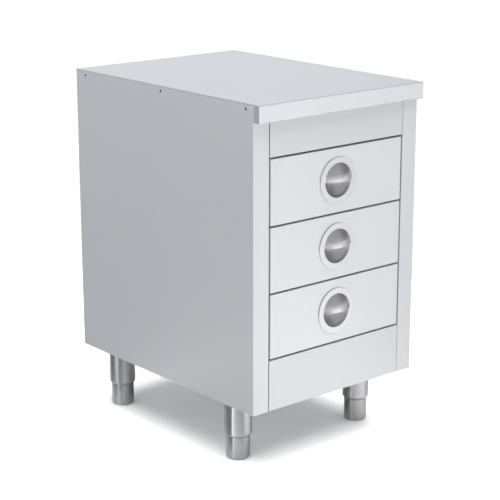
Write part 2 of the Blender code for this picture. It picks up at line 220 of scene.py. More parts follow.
def drill(piece: Piece, radius: float, start: Point, end: Point, corners: int) -> None:
    """Cut a hole between two points on a line along X or Y.

    Args:
        piece: Piece to drill.
        radius: Radius of the hole.
        start: Middle of one end of the hole.
        end: Middle of its other end.
        corners: Number of flats round the hole.
    """
    deselect()
    run = Vector(end) - Vector(start)
    bpy.ops.mesh.primitive_cylinder_add(
        vertices=corners,
        radius=radius,
        depth=run.length,
        location=(Vector(start) + Vector(end)) / 2,
        rotation=run.to_track_quat("Z", "Y").to_euler(),
    )
    combine(piece, name_new("drill"), "DIFFERENCE")


def weld(piece: Piece, other: Piece) -> None:
    """Join another piece to a piece as one body."""
    combine(piece, other, "UNION")


def thicken(piece: Piece, wall: float) -> None:
    """Give an open sheet its wall, inwards."""
    modify(piece, "SOLIDIFY", thickness=wall, offset=-1.0, use_even_offset=True)


def smooth(piece: Piece) -> None:
    """Shade the bends smooth and keep the flats flat."""
    focus(piece)
    bpy.ops.object.shade_smooth_by_angle(angle=SMOOTH_ANGLE)
    modify(piece, "WEIGHTED_NORMAL", mode="FACE_AREA", weight=100, keep_sharp=True)


def trace(name: str, points: Sequence[Point]) -> Piece:
    """Draw an open line by extruding one point from place to place.

    Args:
        name: Name of the piece.
        points: Points that the line runs through.

    Returns:
        The new piece, which holds only edges.
    """
    deselect()
    bpy.ops.mesh.primitive_plane_add(size=SHEET, location=points[0])
    piece = name_new(name)
    with editing(piece, "SELECT"):
        bpy.ops.mesh.merge(type="CENTER")
        for start, end in zip(points, points[1:]):
            step = Vector(end) - Vector(start)
            bpy.ops.mesh.extrude_region_move(TRANSFORM_OT_translate={"value": step})
    return piece


def fold(
    name: str, path: Sequence[Point], sweep: Point, wall: float, bend: float, outward: Point
) -> Piece:
    """Fold a sheet along a path, run it out along a sweep and give it its wall.

    Args:
        name: Name of the piece.
        path: Corners of the fold line, on the sheet's outer face.
        sweep: Way and distance that the line is run out.
        wall: Thickness of the sheet.
        bend: Outer radius of each bend.
        outward: Way that the widest face looks.

    Returns:
        The finished sheet.
    """
    piece = trace(name, path)
    with editing(piece, "SELECT"):
        bpy.ops.mesh.extrude_region_move(TRANSFORM_OT_translate={"value": sweep})
        bpy.ops.mesh.select_all(action="SELECT")
        bpy.ops.mesh.normals_make_consistent(inside=False)
        faces = bmesh.from_edit_mesh(piece.data).faces
        widest = max(faces, key=lambda face: face.calc_area())
        if widest.normal.dot(Vector(outward)) < 0:
            bpy.ops.mesh.flip_normals()
        pick(piece, Element.EDGE, is_fold)
        bpy.ops.mesh.bevel(offset=bend, segments=BEND_STEPS, affect="EDGES")
    thicken(piece, wall)
    return piece


def open_box(name: str, low: Point, high: Point, open_way: Point, bend: float) -> Piece:
    """Make a box of thin sheet with one side left off and its edges rounded.

    Args:
        name: Name of the piece.
        low: Lowest outer corner.
        high: Highest outer corner.
        open_way: Way that the open side looks.
        bend: Outer radius of the edges.

    Returns:
        The open surface, with no wall yet.
    """
    piece = block(name, low, high)
    with editing(piece):
        pick(piece, Element.FACE, lambda face: face.normal.dot(Vector(open_way)) > FACING)
        bpy.ops.mesh.delete(type="FACE")
        pick(piece, Element.EDGE, is_fold)
        bpy.ops.mesh.bevel(offset=bend, segments=BEND_STEPS, affect="EDGES")
    return piece


def rounded(corners: Sequence[Point], steps: int = 5) -> Profile:
    """Round the corners of a profile.

    Args:
        corners: Distance from the axis, distance along it and rounding radius of each corner.
        steps: Number of short runs that make up each rounding.

    Returns:
        Points of the rounded profile.
    """
    points: Profile = []
    last = len(corners) - 1
    for index, (across, along, radius) in enumerate(corners):
        here = Vector((across, along))
        if radius == 0 or index in (0, last):
            points.append((across, along))
            continue
        back = (Vector(corners[index - 1][:2]) - here).normalized()
        ahead = (Vector(corners[index + 1][:2]) - here).normalized()
        half = acos(max(-1.0, min(1.0, back.dot(ahead)))) / 2
        middle = here + (back + ahead).normalized() * (radius / sin(half))
        start = here + back * (radius / tan(half))
        end = here + ahead * (radius / tan(half))
        for step in range(steps + 1):
            share = start.lerp(end, step / steps)
            points.append(tuple(middle + (share - middle).normalized() * radius))
    return points


def turn(name: str, profile: Profile, centre: Point, axis: Point, steps: int) -> Piece:
    """Turn a profile about an axis into a round piece.

    Args:
        name: Name of the piece.
        profile: Distance from the axis and distance along it of each point.
        centre: Point on the axis where the distance along it is zero.
        axis: Way along the axis.
        steps: Number of steps round the piece.

    Returns:
        The turned piece.
    """
    along = Vector(axis)
    across = along.orthogonal().normalized()
    points = [Vector(centre) + across * out + along * run for out, run in profile]
    piece = trace(name, points)
    with editing(piece, "SELECT"):
        bpy.ops.mesh.spin(steps=steps, angle=2 * pi, center=centre, axis=axis)
        bpy.ops.mesh.select_all(action="SELECT")
        bpy.ops.mesh.remove_doubles(threshold=MERGE)
        bpy.ops.mesh.normals_make_consistent(inside=False)
    return piece


def copy_to(piece: Piece, name: str, shift: Point) -> Piece:
    """Copy a finished piece, with its own mesh, and move the copy.

    Args:
        piece: Piece that repeats.
        name: Name of the copy.
        shift: Way and distance from the piece to its copy.

    Returns:
        The copy.
    """
    focus(piece)
    bpy.ops.object.duplicate()
    bpy.ops.transform.translate(value=shift)
    return name_new(name)


def settle(piece: Piece, body: str, slot: str, finish: Material, *nodes: str) -> None:
    """Give a piece its finish, set it on a body and let it stand for CAD nodes.

    Args:
        piece: Finished piece.
        body: Body that the piece rides on.
        slot: Not used.
        finish: Material of the piece.
        nodes: CAD nodes that the piece stands for.
    """
    piece.data.materials.clear()
    piece.data.materials.append(finish)
    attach(piece, body)
    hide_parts(*nodes)
    LOG.info("%s rides on %s", piece.name, body)


def repeat(
    first: Piece, words: Iterable[str], name: str, node: str, body: str, slot: str, finish: Material
) -> None:
    """Smooth a piece, copy it to every place of its kind and settle them all, the first one last.

    Args:
        first: Piece made for the first place.
        words: Word for each place, the first one's own first.
        name: Name of a piece, with {} for the place's word.
        node: CAD node that a piece stands for, in the same way.
        body: Body that a piece rides on, in the same way.
        slot: Not used.
        finish: Material of the pieces.
    """
    smooth(first)
    home, *others = words
    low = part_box(node.format(home))[0]
    for word in others:
        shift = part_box(node.format(word))[0] - low
        copy = copy_to(first, name.format(word), shift)
        settle(copy, body.format(word), slot, finish, node.format(word))
    settle(first, body.format(home), slot, finish, node.format(home))


# Finishes


def linear(code: str) -> tuple[float, float, float, float]:
    """Turn an sRGB hex colour into linear values with full opacity."""
    values = [int(code[place : place + 2], 16) / 255 for place in (1, 3, 5)]
    curve = [v / 12.92 if v <= 0.04045 else ((v + 0.055) / 1.055) ** 2.4 for v in values]
    return (*curve, 1.0)


def add_node(
    tree: Tree, kind: str, sockets: dict | None = None, **settings: object
) -> bpy.types.Node:
    """Add a node with its settings, socket values and links.

    Args:
        tree: Node tree that takes the node.
        kind: Type of the node.
        sockets: Value or source socket of each input, by the input's name or place.
        settings: Values of the node's own settings.

    Returns:
        The new node.
    """
    node = tree.nodes.new(kind)
    for key, value in settings.items():
        setattr(node, key, value)
    for key, value in (sockets or {}).items():
        if isinstance(value, Socket):
            tree.links.new(value, node.inputs[key])
        else:
            node.inputs[key].default_value = value
    return node


def blank_material(name: str) -> tuple[Material, Tree]:
    """Make a material with an empty node tree and return both."""
    material = bpy.data.materials.new(name)
    material.use_nodes = True
    material.node_tree.nodes.clear()
    return material, material.node_tree


@dataclass(frozen=True)
class Finish:
    """What every finish has: marks in tone over a base and, for most, marks in roughness."""

    name: str
    base: str
    marks: str
    roughness: float
    spread: float = 0.0
    metallic: float = 1.0

    def start(self) -> tuple[Material, Tree, Socket]:
        """Make the blank material and return it, its node tree and the piece's coordinates."""
        material, tree = blank_material(self.name)
        return material, tree, add_node(tree, "ShaderNodeTexCoord").outputs["Object"]

    def coat(self, tree: Tree, tone: Socket, shine: Socket | None, sockets: dict) -> None:
        """Give the material its surface.

        Args:
            tree: Node tree of the material.
            tone: Marks in tone, from 0 to 1.
            shine: Marks in roughness, from 0 to 1, or nothing for an even roughness.
            sockets: Value or source socket of the shader's other inputs.
        """
        ends = {0: tone, 6: linear(self.base), 7: linear(self.marks)}
        colour = add_node(tree, "ShaderNodeMix", ends, data_type="RGBA").outputs[2]
        rough = self.roughness
        if shine is not None:
            ends = {"Value": shine, "To Min": rough - self.spread, "To Max": rough + self.spread}
            ends.update(zip(("From Min", "From Max"), NOISE_RANGE))
            rough = add_node(tree, "ShaderNodeMapRange", ends).outputs[0]
        sockets = {"Base Color": colour, "Metallic": self.metallic, "Roughness": rough, **sockets}
        shader = add_node(tree, "ShaderNodeBsdfPrincipled", sockets)
        add_node(tree, "ShaderNodeOutputMaterial", {"Surface": shader.outputs[0]})


@dataclass(frozen=True)
class BrushedSteel(Finish):
    """Stainless sheet with a belt-brushed grain.

    The belt leaves fine straight scratches, so the eye gets a soft, even sheen with faint lines
    along the brushing.  The scratches throw part of the light evenly to all sides, which is why
    the sheet isn't fully metallic here.  Grit lines are about 0.2 mm apart; they are drawn about
    ten times as coarse, so that a trace of them shows from a few metres away.
    """

    spread: float = 0.025
    metallic: float = 0.42
    grain: Grain = Grain.ACROSS
    spacing: float = 0.0022
    length: float = 0.16
    cloud: float = 0.14
    relief: float = 0.0000025

    def material(self) -> Material:
        """Build the material: lines in tone, roughness and relief, and broad polishing marks."""
        material, tree, place = self.start()
        sizes = [self.spacing if axis in self.grain.value else self.length for axis in range(3)]
        stretch = [1 / size for size in sizes]
        lined = add_node(tree, "ShaderNodeMapping", {"Vector": place, "Scale": stretch})
        sockets = {"Vector": lined.outputs[0], "Scale": 1.0, "Detail": 4.0, "Roughness": 0.65}
        lines = add_node(tree, "ShaderNodeTexNoise", sockets).outputs[0]
        sockets = {"Vector": place, "Scale": 1 / self.cloud, "Detail": 2.0}
        cloud = add_node(tree, "ShaderNodeTexNoise", sockets).outputs[0]
        both = add_node(tree, "ShaderNodeMix", {0: 0.5, 2: lines, 3: cloud}).outputs[0]
        bump = add_node(tree, "ShaderNodeBump", {"Height": lines, "Distance": self.relief})
        self.coat(tree, lines, both, {"Normal": bump.outputs[0]})
        return material


@dataclass(frozen=True)
class SpunSteel(Finish):
    """Stainless sheet pressed round and polished while it spun.

    The cloth leaves faint rings about the middle, so the bowl shows clear, slightly soft
    reflections.  The rings are about 0.3 mm apart and are drawn at 1.2 mm to show.
    """

    base: str = "#D3D3D5"
    marks: str = "#CCCCCE"
    roughness: float = 0.30
    spread: float = 0.018
    centre: Point = (0.0, 0.0, 0.0)
    spacing: float = 0.0012

    def material(self) -> Material:
        """Build the material: rings about the handle's own axis in tone and roughness."""
        material, tree, place = self.start()
        back = [-value for value in self.centre]
        moved = add_node(tree, "ShaderNodeMapping", {"Vector": place, "Location": back})
        flat = {0: moved.outputs[0], 1: (1.0, 0.0, 1.0)}
        flat = add_node(tree, "ShaderNodeVectorMath", flat, operation="MULTIPLY").outputs[0]
        radius = add_node(tree, "ShaderNodeVectorMath", {0: flat}, operation="LENGTH")
        sockets = {"W": radius.outputs["Value"], "Scale": 1 / self.spacing, "Detail": 3.0}
        rings = add_node(tree, "ShaderNodeTexNoise", sockets, noise_dimensions="1D").outputs[0]
        self.coat(tree, rings, rings, {})
        return material


@dataclass(frozen=True)
class TurnedSteel(Finish):
    """Stainless tube finished on a lathe.

    The tool leaves rings round the tube, which draw every bright thing about it out into upright
    streaks.  The rings are about 0.1 mm apart and are drawn at 0.8 mm to show; along a ring the
    tone wavers over about 90 mm.
    """

    base: str = "#C9C9CB"
    marks: str = "#C3C3C6"
    roughness: float = 0.29
    spread: float = 0.003
    streak: float = 1.0
    streak_turn: float = 0.25
    spacing: float = 0.0008
    waver: float = 0.09

    def material(self) -> Material:
        """Build the material: rings along Z and a highlight drawn out upright."""
        material, tree, place = self.start()
        stretch = (1 / self.waver, 1 / self.waver, 1 / self.spacing)
        ringed = add_node(tree, "ShaderNodeMapping", {"Vector": place, "Scale": stretch})
        sockets = {"Vector": ringed.outputs[0], "Scale": 1.0, "Detail": 3.0}
        rings = add_node(tree, "ShaderNodeTexNoise", sockets).outputs[0]
        round_about = add_node(tree, "ShaderNodeTangent", direction_type="RADIAL", axis="Z")
        sockets = {"Anisotropic": self.streak, "Anisotropic Rotation": self.streak_turn}
        self.coat(tree, rings, rings, {**sockets, "Tangent": round_about.outputs[0]})
        return material


@dataclass(frozen=True)
class ZincPlate(Finish):
    """Rolled steel channel with bright zinc plating.

    The plating is smooth with a cool, slightly patchy sheen; the patches are 6 to 10 mm across.
    """

    base: str = "#C3C7CC"
    marks: str = "#AEB3BA"
    roughness: float = 0.34
    spread: float = 0.05
    patch: float = 0.008

    def material(self) -> Material:
        """Build the material: patches in tone and roughness."""
        material, tree, place = self.start()
        sockets = {"Vector": place, "Scale": 1 / self.patch, "Detail": 3.0}
        patches = add_node(tree, "ShaderNodeTexNoise", sockets).outputs[0]
        self.coat(tree, patches, patches, {})
        return material


@dataclass(frozen=True)
class BlackOxide(Finish):
    """Steel screw with a dull charcoal skin.

    The skin has paler specks of about 0.4 mm.
    """

    base: str = "#303032"
    marks: str = "#4C4C4E"
    roughness: float = 0.5
    metallic: float = 0.6
    speck: float = 0.0004

    def material(self) -> Material:
        """Build the material: specks in tone over a dull metal."""
        material, tree, place = self.start()
        sockets = {"Vector": place, "Scale": 1 / self.speck, "Detail": 2.0}
        specks = add_node(tree, "ShaderNodeTexNoise", sockets).outputs[0]
        self.coat(tree, specks, None, {})
        return material


@dataclass(frozen=True)
class PressedBoard(Finish):
    """Particle board pressed from wood chips.

    Chips of 2 to 4 mm in several browns give a dry, speckled face with no shine.
    """

    base: str = "#BFA27C"
    marks: str = "#8A6B48"
    roughness: float = 0.85
    metallic: float = 0.0
    chip: float = 0.003
    chip_stretch: Point = (1.0, 0.5, 1.5)
    relief: float = 0.0002

    def material(self) -> Material:
        """Build the material: a cell of its own brown for each chip."""
        material, tree, place = self.start()
        stretch = [share / self.chip for share in self.chip_stretch]
        laid = add_node(tree, "ShaderNodeMapping", {"Vector": place, "Scale": stretch})
        chips = add_node(tree, "ShaderNodeTexVoronoi", {"Vector": laid.outputs[0], "Scale": 1.0})
        grey = add_node(tree, "ShaderNodeSeparateColor", {0: chips.outputs["Color"]}).outputs[0]
        bump = add_node(tree, "ShaderNodeBump", {"Height": grey, "Distance": self.relief})
        self.coat(tree, grey, None, {"Normal": bump.outputs[0]})
        return material


WORKTOP_FINISH = BrushedSteel(
    "brushed_stainless_worktop", "#E3E4E7", "#DFE0E4", 0.38, metallic=0.75
)
FRONT_FINISH = BrushedSteel("brushed_stainless_front", "#EAEBED", "#E7E8EB", 0.40)
# The rails are a shade darker than the drawer fronts: on the top rail this is painted shade for the
# shadow under the worktop's lip; the bottom rail takes the same tone.
RAIL_FINISH = BrushedSteel("brushed_stainless_rail", "#E3E4E6", "#E0E1E4", 0.40)
# The lip's ends are far darker than the worktop: painted shade on the ends' faces.
LIP_END_FINISH = BrushedSteel(
    "ground_weld_stainless_lip_end", "#C9CACE", "#C3C4C9", 0.42, grain=Grain.UPRIGHT
)
PANEL_FINISH = BrushedSteel(
    "satin_stainless_panel", "#E6E7EA", "#E2E3E6", 0.40, grain=Grain.UPRIGHT
)
TUB_FINISH = BrushedSteel(
    "mill_finish_stainless_tub", "#D0D0D3", "#C6C6CA", 0.36, grain=Grain.FRONT_TO_BACK
)
LEG_FINISH = TurnedSteel("lathe_turned_stainless_sleeve")
# The foot is a shade darker than the sleeve: painted shade for the shadowed floor close by that the
# foot reflects.
FOOT_FINISH = TurnedSteel("lathe_turned_stainless_foot", "#BABABC", "#B4B4B7", 0.27)
RUNNER_FINISH = ZincPlate("bright_zinc_plated_runner")
SCREW_FINISH = BlackOxide("black_oxide_screw")
BOARD_FINISH = PressedBoard("pressed_chip_board")


# Sub-assemblies


@dataclass
class Worktop:
    """Top sheet folded down into a boxed front lip over a stiffening board; painted shade darkens
    the lip's ends.
    """

    finish: Material
    end_finish: Material
    board: Material
    sheet: float = 0.0012
    bend: float = 0.0017
    overhang: float = 0.019

    def build(self) -> None:
        """Fold the sheet, close the ends of its lip and dress the board."""
        low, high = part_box("worktop")
        stile_plane = low.y + self.overhang - STAND_OFF
        folds = (stile_plane, low.z), (low.y, low.z), (low.y, high.z), (high.y, high.z)
        path = [(low.x, *place) for place in folds]
        sweep = (high.x - low.x, 0, 0)
        sheet = fold("worktop_sheet", path, sweep, self.sheet, self.bend, (0, 0, 1))
        buried = self.sheet * BURIED
        for inner, outer in ((low.x + self.sheet, low.x), (high.x - self.sheet, high.x)):
            corner = (min(inner, outer), low.y + buried, low.z + buried)
            opposite = (max(inner, outer), stile_plane, high.z - buried)
            weld(sheet, block("lip_end", corner, opposite))
        smooth(sheet)
        settle(sheet, "cabinet", "worktop_steel", self.finish, "worktop")
        # The lip's end faces take the darker end finish, which is painted shade.
        sheet.data.materials.append(self.end_finish)
        with editing(sheet):
            pick(
                sheet,
                Element.FACE,
                lambda face: abs(face.normal.x) > FACING
                and face.calc_center_median().y < stile_plane,
            )
            sheet.active_material_index = 1
            bpy.ops.object.material_slot_assign()
        carry_over("worktop_core", self.board)


@dataclass
class SidePanels:
    """Side walls, each folded into a boxed front stile and a narrow return at the back."""

    finish: Material
    stile: float = 0.045
    stile_return: float = 0.020
    back_return: float = 0.015
    hole_radius: float = 0.0032
    hole_corners: int = 32

    def build(self) -> None:
        """Fold each panel, close the foot of its stile and drill it for the screws."""
        for side in Side:
            node = f"side_panel_{side}"
            low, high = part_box(node)
            way = side.value
            outer = way * max(abs(low.x), abs(high.x))
            inner = outer - way * self.stile
            path = [
                (inner, low.y + self.stile_return, low.z),
                (inner, low.y, low.z),
                (outer, low.y, low.z),
                (outer, high.y, low.z),
                (outer - way * self.back_return, high.y, low.z),
            ]
            rise = (0, 0, high.z - low.z)
            panel = fold(f"side_sheet_{side}", path, rise, SHEET, BEND, (way, 0, 0))
            buried = SHEET * BURIED
            across = sorted((inner + way * buried, outer - way * buried))
            corner = (across[0], low.y + buried, low.z + STAND_OFF)
            opposite = (across[1], low.y + self.stile_return, low.z + STAND_OFF + SHEET)
            weld(panel, block("stile_foot", corner, opposite))
            for place in SCREW_PLACES:
                start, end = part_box(f"worktop_screw_{side}_{place}")
                middle = (start + end) / 2
                reach = [(outer + way * step, middle.y, middle.z) for step in (SHEET, -2 * SHEET)]
                drill(panel, self.hole_radius, *reach, self.hole_corners)
            smooth(panel)
            settle(panel, "cabinet", "panel_steel", self.finish, node)


@dataclass
class FrontRails:
    """Rails above and below the drawers, folded back at their edges."""

    finish: Material

    def build(self) -> None:
        """Fold both rails."""
        for rail_place in ("top", "bottom"):
            node = f"front_{rail_place}_rail"
            low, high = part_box(node)
            folds = (high.y, low.z), (low.y, low.z), (low.y, high.z), (high.y, high.z)
            path = [(low.x, *place) for place in folds]
            sweep = (high.x - low.x, 0, 0)
            rail = fold(f"{rail_place}_rail_sheet", path, sweep, SHEET, BEND, (0, -1, 0))
            smooth(rail)
            settle(rail, "cabinet", "front_steel", self.finish, node)


@dataclass
class DrawerFronts:
    """Double drawer fronts: a skin folded back round its edges, and a flat liner behind it."""

    finish: Material
    liner: Material
    hole_radius: float = 0.0421
    hole_corners: int = 96

    def build(self) -> None:
        """Fold the top skin with its handle hole and copy it for the other drawers."""
        low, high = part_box("top_drawer_front_skin")
        first = open_box("top_drawer_skin", low, high, (0, 1, 0), BEND)
        thicken(first, SHEET)
        middle = (low + high) / 2
        reach = [(middle.x, low.y + step, middle.z) for step in (-SHEET, 2 * SHEET)]
        drill(first, self.hole_radius, *reach, self.hole_corners)
        names = ("{}_drawer_skin", "{}_drawer_front_skin", "{}_drawer")
        repeat(first, Drawer, *names, "front_steel", self.finish)
        for drawer in Drawer:
            carry_over(f"{drawer}_drawer_front_liner", self.liner)


@dataclass
class RoundHandles:
    """Pressed round handles: a dished cup with a flange, and a half-dome visor over its top."""

    flange: float = 0.0545
    recess: float = 0.0408
    sheet: float = 0.0010
    bulge: float = 0.015
    depth: float = 0.019
    lip_round: float = 0.0009
    rim_round: float = 0.000675
    root_round: float = 0.0022
    edge_round: float = 0.0003
    steps: int = 112
    bowl_steps: int = 18

    def build(self) -> None:
        """Press the top drawer's handle, copy it for the others and polish each one."""
        centre = self.centre(Drawer.TOP)
        cup, visor = self.build_cup(centre), self.build_visor(centre)
        smooth(cup)
        smooth(visor)
        for drawer in reversed(Drawer):  # The top one last, once its copies are made
            middle = self.centre(drawer)
            polish = SpunSteel(f"spun_stainless_{drawer}_handle", centre=middle).material()
            for piece, name, node in ((cup, "bowl", "cup"), (visor, "hood", "visor")):
                if drawer is not Drawer.TOP:
                    piece = copy_to(piece, f"{drawer}_handle_{name}", middle - centre)
                replaced = f"{drawer}_drawer_handle_{node}"
                settle(piece, f"{drawer}_drawer", "handle_steel", polish, replaced)

    def centre(self, drawer: Drawer) -> Vector:
        """Middle of a handle's seat on the drawer skin, where distances along its axis start."""
        low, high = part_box(f"{drawer}_drawer_handle_cup")
        return Vector(((low.x + high.x) / 2, low.y + self.sheet, (low.z + high.z) / 2))

    def build_cup(self, centre: Vector) -> Piece:
        """Turn the dished cup and its flange.

        Args:
            centre: Middle of the seat.

        Returns:
            The cup.
        """
        rim = self.recess - self.lip_round
        bowl = self.cap(rim, self.lip_round - self.depth, self.sheet - self.lip_round)
        edge = [
            (rim, self.sheet, self.rim_round),
            (self.flange, self.sheet, self.edge_round),
            (self.flange, 0.0, self.edge_round),
            (self.recess + self.sheet, 0.0, 0.0),
        ]
        back = self.cap(self.recess + self.sheet, -self.depth, 0.0)
        profile = rounded(bowl + edge + back[::-1])
        return turn("top_handle_bowl", profile, centre, (0, -1, 0), self.steps)

    def build_visor(self, centre: Vector) -> Piece:
        """Turn the dome with its flat rim and keep the upper half.

        Args:
            centre: Middle of the seat.

        Returns:
            The visor.
        """
        seat = self.sheet + STAND_OFF
        outer = self.cap(self.recess, self.bulge, seat + self.sheet)
        inner = self.cap(self.recess - self.sheet, self.bulge, seat)
        rim = [
            (self.recess, seat + self.sheet, self.root_round),
            (self.flange, seat + self.sheet, self.edge_round),
            (self.flange, seat, self.edge_round),
            (self.recess - self.sheet, seat, 0.0),
        ]
        profile = rounded(outer + rim + inner[::-1])
        visor = turn("top_handle_hood", profile, centre, (0, -1, 0), self.steps)
        with editing(visor, "SELECT"):
            up = (0, 0, 1)
            bpy.ops.mesh.bisect(plane_co=centre, plane_no=up, use_fill=True, clear_inner=True)
        return visor

    def cap(self, radius: float, rise: float, base: float) -> list[Point]:
        """Points from the pole of a shallow ball cap out towards its rim.

        Args:
            radius: Radius of the cap's rim.
            rise: Distance along the axis from the rim to the pole.
            base: Distance of the rim along the axis.

        Returns:
            Points of the profile, none of them rounded.
        """
        ball = (radius**2 + rise**2) / (2 * rise)
        rim = asin(radius / ball)
        angles = [rim * step / self.bowl_steps for step in range(self.bowl_steps - 1)]
        return [(ball * sin(a), base + ball * cos(a) - ball + rise, 0.0) for a in angles]


@dataclass
class DrawerTubs:
    """Open trays behind the drawer fronts, with their upper edges hemmed inwards."""

    finish: Material
    hem_drop: float = 0.010
    hem_in: float = 0.0023
    hem_bend: float = 0.0011

    def build(self) -> None:
        """Fold the top drawer's tub and copy it for the others."""
        low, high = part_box("top_drawer_tub")
        first = open_box("top_drawer_tray", low, high, (0, 0, 1), BEND)
        self.hem(first, low, high)
        thicken(first, SHEET)
        names = ("{}_drawer_tray", "{}_drawer_tub", "{}_drawer")
        repeat(first, Drawer, *names, "tub_steel", self.finish)

    def hem(self, tub: Piece, low: Vector, high: Vector) -> None:
        """Fold the upper edge in and down.

        Args:
            tub: Open surface of the tub.
            low: Lowest outer corner of the tub.
            high: Highest outer corner of the tub.
        """
        size = high - low
        middle = (low + high) / 2
        shrink = [1 - 2 * self.hem_in / size.x, 1 - 2 * self.hem_in / size.y, 1]
        with editing(tub):
            pick(tub, Element.EDGE, lambda edge: edge.is_boundary)
            bpy.ops.mesh.extrude_region_move()
            bpy.ops.transform.resize(value=shrink, center_override=middle)
            bpy.ops.mesh.extrude_region_move(
                TRANSFORM_OT_translate={"value": (0, 0, -self.hem_drop)}
            )
            top = high.z - MERGE
            pick(
                tub,
                Element.EDGE,
                lambda edge: is_fold(edge) and all(vert.co.z > top for vert in edge.verts),
            )
            bpy.ops.mesh.bevel(offset=self.hem_bend, segments=BEND_STEPS, affect="EDGES")


@dataclass
class Runners:
    """Telescopic runners: three nested channels on each side of a drawer."""

    finish: Material
    sheet: float = 0.0012
    bend: float = 0.0022
    hole_radius: float = 0.0024
    hole_corners: int = 22
    hole_count: int = 5

    def build(self) -> None:
        """Roll the channels of the top drawer, punch their webs and copy them down the drawers."""
        bodies = {"outer": "cabinet", "middle": "{}_runner_pair", "inner": "{}_drawer"}
        for side, (kind, body) in product(Side, bodies.items()):
            place = f"{kind}_{side}"
            low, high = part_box(f"top_runner_{place}")
            far, near = (high.x, low.x) if side is Side.RIGHT else (low.x, high.x)
            web, toe = (near, far) if kind == "inner" else (far, near)
            folds = (toe, low.z), (web, low.z), (web, high.z), (toe, high.z)
            path = [(across, low.y, height) for across, height in folds]
            run = (0, high.y - low.y, 0)
            outward = (web - toe, 0, 0)
            first = fold(f"top_slide_{place}", path, run, self.sheet, self.bend, outward)
            inwards = 1 if toe > web else -1
            middle = (low.z + high.z) / 2
            for index in range(self.hole_count):
                depth = low.y + (high.y - low.y) * (index + 0.5) / self.hole_count
                steps = (-self.sheet, 2 * self.sheet)
                reach = [(web + inwards * step, depth, middle) for step in steps]
                drill(first, self.hole_radius, *reach, self.hole_corners)
            names = ("{}_slide_" + place, "{}_runner_" + place, body)
            repeat(first, Drawer, *names, "runner_zinc", self.finish)


@dataclass
class Legs:
    """Round legs: a sleeve drawn in at its lower end, and a foot that screws out of it."""

    finish: Material
    foot_finish: Material
    sleeve_radius: float = 0.0325
    foot_radius: float = 0.028
    wall: float = 0.0015
    cap: float = 0.003
    taper: float = 0.0056
    taper_round: float = 0.0022
    edge_round: float = 0.0006
    foot_round: float = 0.0045
    foot_round_steps: int = 7
    foot_floor: float = 0.004
    foot_gap: float = 0.0004
    stem_length: float = 0.060
    stem_gap: float = 0.0005
    stem_wall: float = 0.002
    steps: int = 80

    def build(self) -> None:
        """Turn one leg and copy it to the other corners."""
        low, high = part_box("leg_sleeve_front_left")
        axis = (low + high) / 2
        sleeve = self.build_sleeve(Vector((axis.x, axis.y, high.z)), high.z - low.z)
        foot = self.build_foot(Vector((axis.x, axis.y, 0)), low.z - self.foot_gap)
        corners = ("front_left", "front_right", "back_left", "back_right")
        names = ("sleeve_{}", "leg_sleeve_{}", "cabinet")
        repeat(sleeve, corners, *names, "leg_steel", self.finish)
        names = ("foot_{}", "leg_foot_{}", "foot_{}")
        repeat(foot, corners, *names, "leg_steel", self.foot_finish)

    def build_sleeve(self, top: Vector, length: float) -> Piece:
        """Turn the sleeve downwards from its top.

        Args:
            top: Middle of the sleeve's top.
            length: Length of the sleeve.

        Returns:
            The sleeve.
        """
        bore = self.sleeve_radius - self.wall
        corners = [
            (0.0, 0.0, 0.0),
            (self.sleeve_radius, 0.0, self.edge_round),
            (self.sleeve_radius, self.taper - length, self.taper_round),
            (self.foot_radius, -length, self.edge_round),
            (self.foot_radius - self.wall, -length, 0.0),
            (bore, self.taper - length, 0.0),
            (bore, -self.cap, 0.0),
            (0.0, -self.cap, 0.0),
        ]
        return turn("sleeve_front_left", rounded(corners), top, (0, 0, 1), self.steps)

    def build_foot(self, base: Vector, shoulder: float) -> Piece:
        """Turn the foot: a hollow stem over a cup with a rounded lower edge.

        Args:
            base: Middle of the foot's underside.
            shoulder: Height of the foot's shoulder.

        Returns:
            The foot.
        """
        stem = self.foot_radius - self.wall - self.stem_gap
        bore = stem - self.stem_wall
        top = shoulder + self.stem_length
        corners = [
            (0.0, self.foot_floor, 0.0),
            (bore, self.foot_floor, 0.0),
            (bore, top, 0.0),
            (stem, top, 0.0),
            (stem, shoulder, 0.0),
            (self.foot_radius, shoulder, self.edge_round),
            (self.foot_radius, 0.0, self.foot_round),
            (0.0, 0.0, 0.0),
        ]
        profile = rounded(corners, self.foot_round_steps)
        return turn("foot_front_left", profile, base, (0, 0, 1), self.steps)


@dataclass
class WorktopScrews:
    """Socket screws through the side panels into the edges of the board."""

    finish: Material
    head_radius: float = 0.0029
    shank_radius: float = 0.0014
    head_length: float = 0.0009
    length: float = 0.0157
    socket_radius: float = 0.0014
    socket_depth: float = 0.0006
    socket_corners: int = 6
    edge_round: float = 0.0003
    steps: int = 32

    def build(self) -> None:
        """Turn one screw for each side and copy it along the side."""
        for side in Side:
            names = (f"screw_{side}_{{}}", f"worktop_screw_{side}_{{}}", "cabinet")
            repeat(self.build_screw(side), SCREW_PLACES, *names, "screw", self.finish)

    def build_screw(self, side: Side) -> Piece:
        """Turn the front screw of a side and sink the six-sided socket in its head.

        Args:
            side: Side that the screw is on.

        Returns:
            The screw.
        """
        low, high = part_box(f"worktop_screw_{side}_front")
        middle = (low + high) / 2
        face = high.x if side is Side.RIGHT else low.x
        corners = [
            (0.0, 0.0, 0.0),
            (self.head_radius, 0.0, self.edge_round),
            (self.head_radius, -self.head_length, 0.0),
            (self.shank_radius, -self.head_length, 0.0),
            (self.shank_radius, -self.length, 0.0),
            (0.0, -self.length, 0.0),
        ]
        head = Vector((face, middle.y, middle.z))
        way = Vector((side.value, 0, 0))
        screw = turn(f"screw_{side}_front", rounded(corners), head, way, self.steps)
        reach = [head + way * step for step in (SHEET, -self.socket_depth)]
        drill(screw, self.socket_radius, *reach, self.socket_corners)
        return screw


